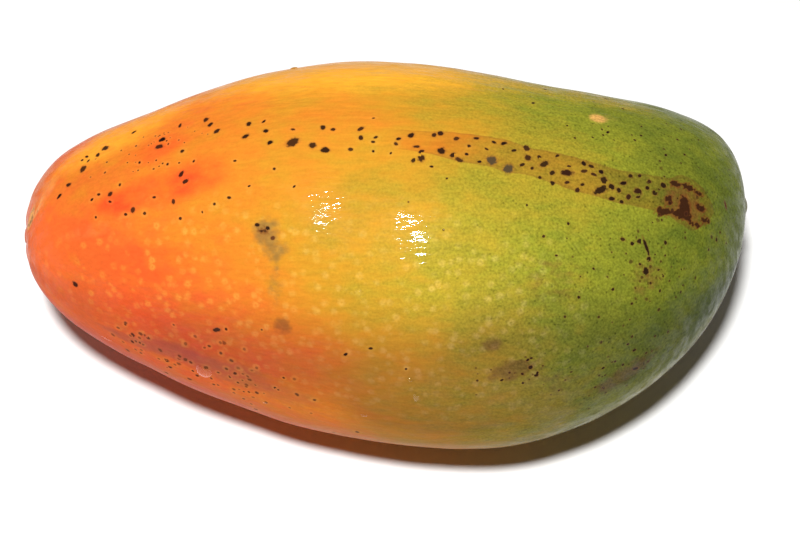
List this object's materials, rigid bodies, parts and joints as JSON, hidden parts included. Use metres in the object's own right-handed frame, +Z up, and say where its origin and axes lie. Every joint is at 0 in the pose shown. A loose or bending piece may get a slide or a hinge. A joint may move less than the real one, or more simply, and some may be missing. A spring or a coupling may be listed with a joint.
{
  "type": "mango",
  "caption": "A ripe elongated mango lying on its broad side, whole, with the stem scar at one end and a small nipple at the tip.",
  "frame": {"origin": "On the table, under the middle of the fruit's bounding box, as it lies on its broad side.", "axes": "+X from the stem end to the tip, +Y away from the picture's viewer across the width, +Z up through the thickness"},
  "size_m": [0.1558, 0.0824, 0.0757],
  "materials": {
    "skin": "Waxy fruit skin, wet and glossy: red-orange at the stem end, orange-yellow over the middle and green at the tip, with pale and dark lenticels, dark sap spots and small brown bruises.",
    "water": "Clear rinse water, for the drops that the visual model adds on the skin."
  },
  "bodies": {
    "root": {"fruit": "skin"}
  },
  "joints": []
}
